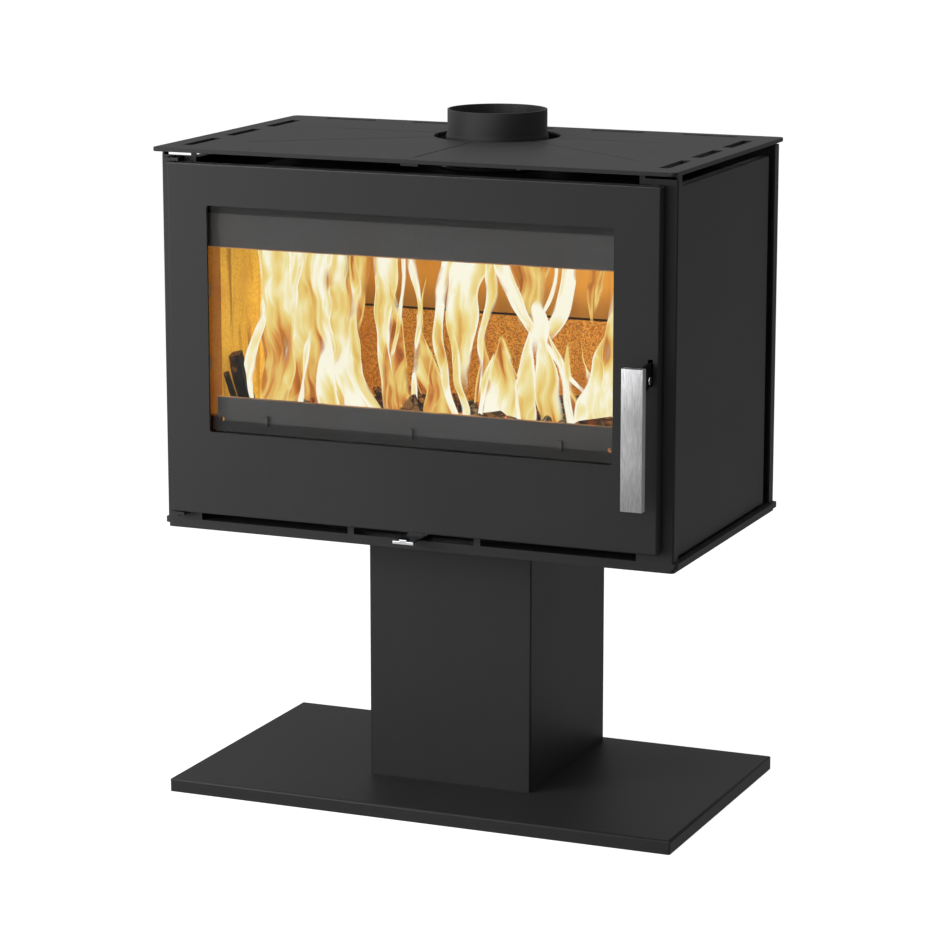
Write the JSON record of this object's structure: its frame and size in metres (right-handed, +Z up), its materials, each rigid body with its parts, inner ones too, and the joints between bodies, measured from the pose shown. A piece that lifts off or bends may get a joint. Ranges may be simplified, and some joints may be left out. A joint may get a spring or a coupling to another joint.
{
  "type": "wood burning stove",
  "caption": "Wood burning stove on a column and floor plate, with a wide glazed door, lever handle, sliding air control and a top flue spigot.",
  "frame": {"origin": "centre of the floor plate's underside, on the floor", "axes": "+Z up, the glazed door faces -Y, the handle is at +X"},
  "size_m": [0.81, 0.524, 1.021],
  "materials": {
    "coat": "matte",
    "dark_steel": "matte",
    "bare_steel": "satin",
    "stainless": "satin",
    "knob_chrome": "polished",
    "grate_iron": "matte",
    "lining": "matte",
    "glass": "gloss",
    "rope": "matte"
  },
  "bodies": {
    "root": {"base_plate": "coat", "base_bottom": "dark_steel", "column_foot": "dark_steel", "column_shell": "coat", "column_rear_cover": "coat", "column_cover_screws": "bare_steel", "column_foot_bolts": "bare_steel", "column_head": "dark_steel", "column_head_bolts": "bare_steel", "lower_tray": "coat", "bottom_plate": "coat", "front_frame": "coat", "rear_panel": "coat", "rear_panel_screws": "bare_steel", "side_panel_left": "coat", "side_panel_right": "coat", "panel_spacers": "dark_steel", "top_plate": "coat", "firebox_left": "dark_steel", "firebox_right": "dark_steel", "firebox_rear": "dark_steel", "firebox_roof": "dark_steel", "ash_floor": "dark_steel", "brick_rails": "dark_steel", "floor_bricks": "lining", "grate": "grate_iron", "ash_pan": "bare_steel", "lining_left": "lining", "lining_right": "lining", "lining_rear_lower": "lining", "lining_rear_upper": "lining", "baffle": "lining", "flue_spigot": "coat", "flue_bolts": "bare_steel", "air_spigot": "bare_steel", "air_duct": "dark_steel", "hinge_brackets": "coat", "hinge_pins": "bare_steel", "hinge_washer": "bare_steel", "strike_bracket": "dark_steel", "strike_pin": "bare_steel"},
    "door": {"door_skin": "coat", "door_frame": "dark_steel", "hinge_bushes": "bare_steel", "glass": "glass", "glass_tape": "rope", "glass_clips": "bare_steel", "clip_screws": "bare_steel", "air_wash_plate": "coat", "log_guard": "coat", "guard_screws": "bare_steel", "door_gasket": "rope", "handle_bearing": "dark_steel", "pivot_pin": "stainless"},
    "handle": {"handle_lever": "dark_steel", "handle_bar": "stainless", "handle_screws": "bare_steel"},
    "air_control": {"air_slide": "bare_steel", "air_knob": "knob_chrome"}
  },
  "joints": [
    {"name": "door_swing", "type": "hinge", "parent": "root", "child": "door", "pos_m": [-0.3745, -0.2365, 0.7], "axis": [0, 0, -1], "range_deg": [0, 105]},
    {"name": "handle_lift", "type": "hinge", "parent": "door", "child": "handle", "pos_m": [0.3695, -0.26, 0.692], "axis": [-1, 0, 0], "range_deg": [0, 40]},
    {"name": "air_slide_travel", "type": "slide", "parent": "root", "child": "air_control", "axis": [1, 0, 0], "range_m": [-0.06, 0.06]}
  ]
}
